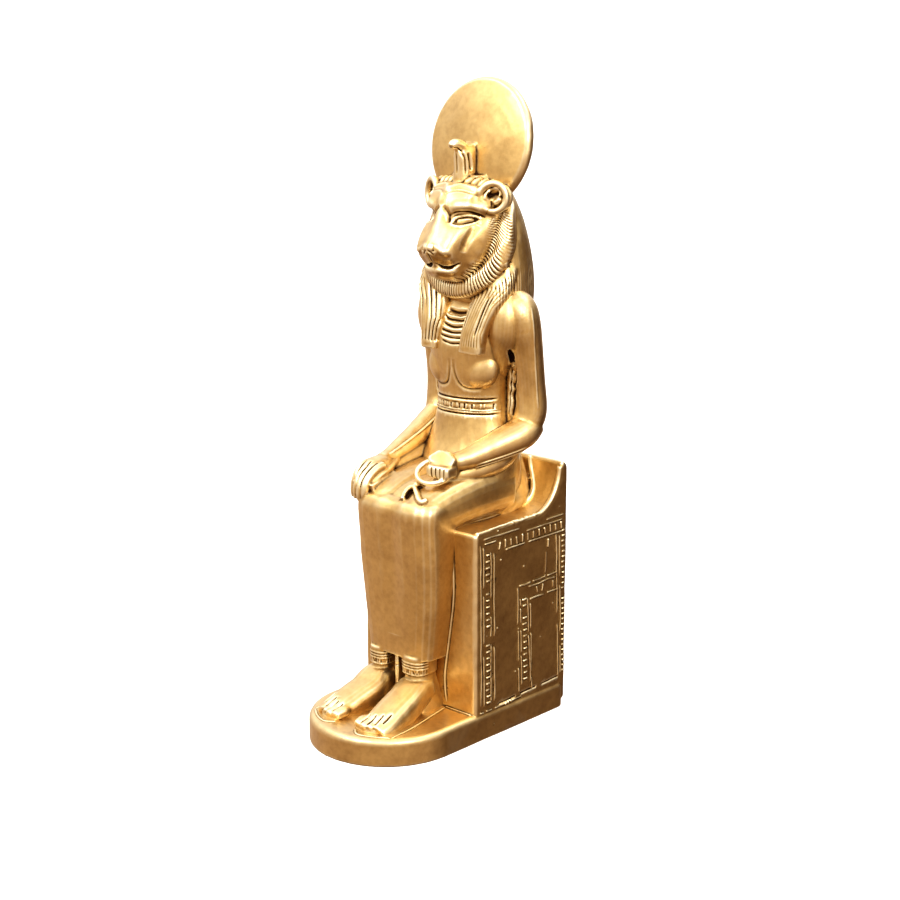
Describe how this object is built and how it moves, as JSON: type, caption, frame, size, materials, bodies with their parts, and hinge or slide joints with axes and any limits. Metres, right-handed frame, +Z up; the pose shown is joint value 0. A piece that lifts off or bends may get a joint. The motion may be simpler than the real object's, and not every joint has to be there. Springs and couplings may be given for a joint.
{
  "type": "seated lioness goddess figurine",
  "caption": "Cast figurine of a seated lioness-headed Egyptian goddess with a sun disc, her throne and a round-fronted plinth all in one piece, painted gold, for a shelf or desk.",
  "frame": {"origin": "middle of the plinth's flat underside", "axes": "+Z up, the goddess faces -Y, +X is her left"},
  "size_m": [0.024, 0.04, 0.098],
  "materials": {
    "gold_paint": "gold paint over cast resin, satin"
  },
  "bodies": {
    "root": {"figurine": "gold_paint"}
  },
  "joints": []
}
